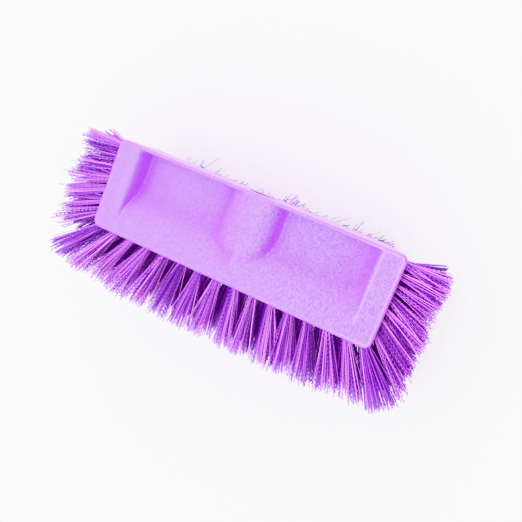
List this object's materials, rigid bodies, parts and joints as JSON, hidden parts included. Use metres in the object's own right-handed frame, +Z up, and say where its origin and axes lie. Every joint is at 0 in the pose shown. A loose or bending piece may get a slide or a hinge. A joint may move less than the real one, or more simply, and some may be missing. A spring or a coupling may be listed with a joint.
{
  "type": "tile scrub brush head",
  "caption": "Rectangular tile scrub brush head with a rear handle socket, two recesses on top, and splayed bristle rows along the front, both ends and underneath.",
  "frame": {"origin": "centre of the whole brush head's bounding box at the level of the trimmed bottom bristle tips", "axes": "+X along the block's length, +Y towards the rear face that holds the handle socket, +Z up out of the block's top face"},
  "size_m": [0.3218, 0.1294, 0.088],
  "materials": {
    "foamed_plastic": "moulded foamed polypropylene, light purple, faintly swirled, satin",
    "bristles": "purple crimped and straight synthetic filaments, semi-gloss"
  },
  "bodies": {
    "root": {"block": "foamed_plastic", "front_upper_tufts": "bristles", "front_lower_tufts": "bristles", "front_left_corner_tufts": "bristles", "front_right_corner_tufts": "bristles", "left_end_upper_tufts": "bristles", "left_end_lower_tufts": "bristles", "right_end_upper_tufts": "bristles", "right_end_lower_tufts": "bristles", "bottom_tufts_1": "bristles", "bottom_tufts_2": "bristles", "bottom_tufts_3": "bristles", "bottom_tufts_4": "bristles"}
  },
  "joints": []
}
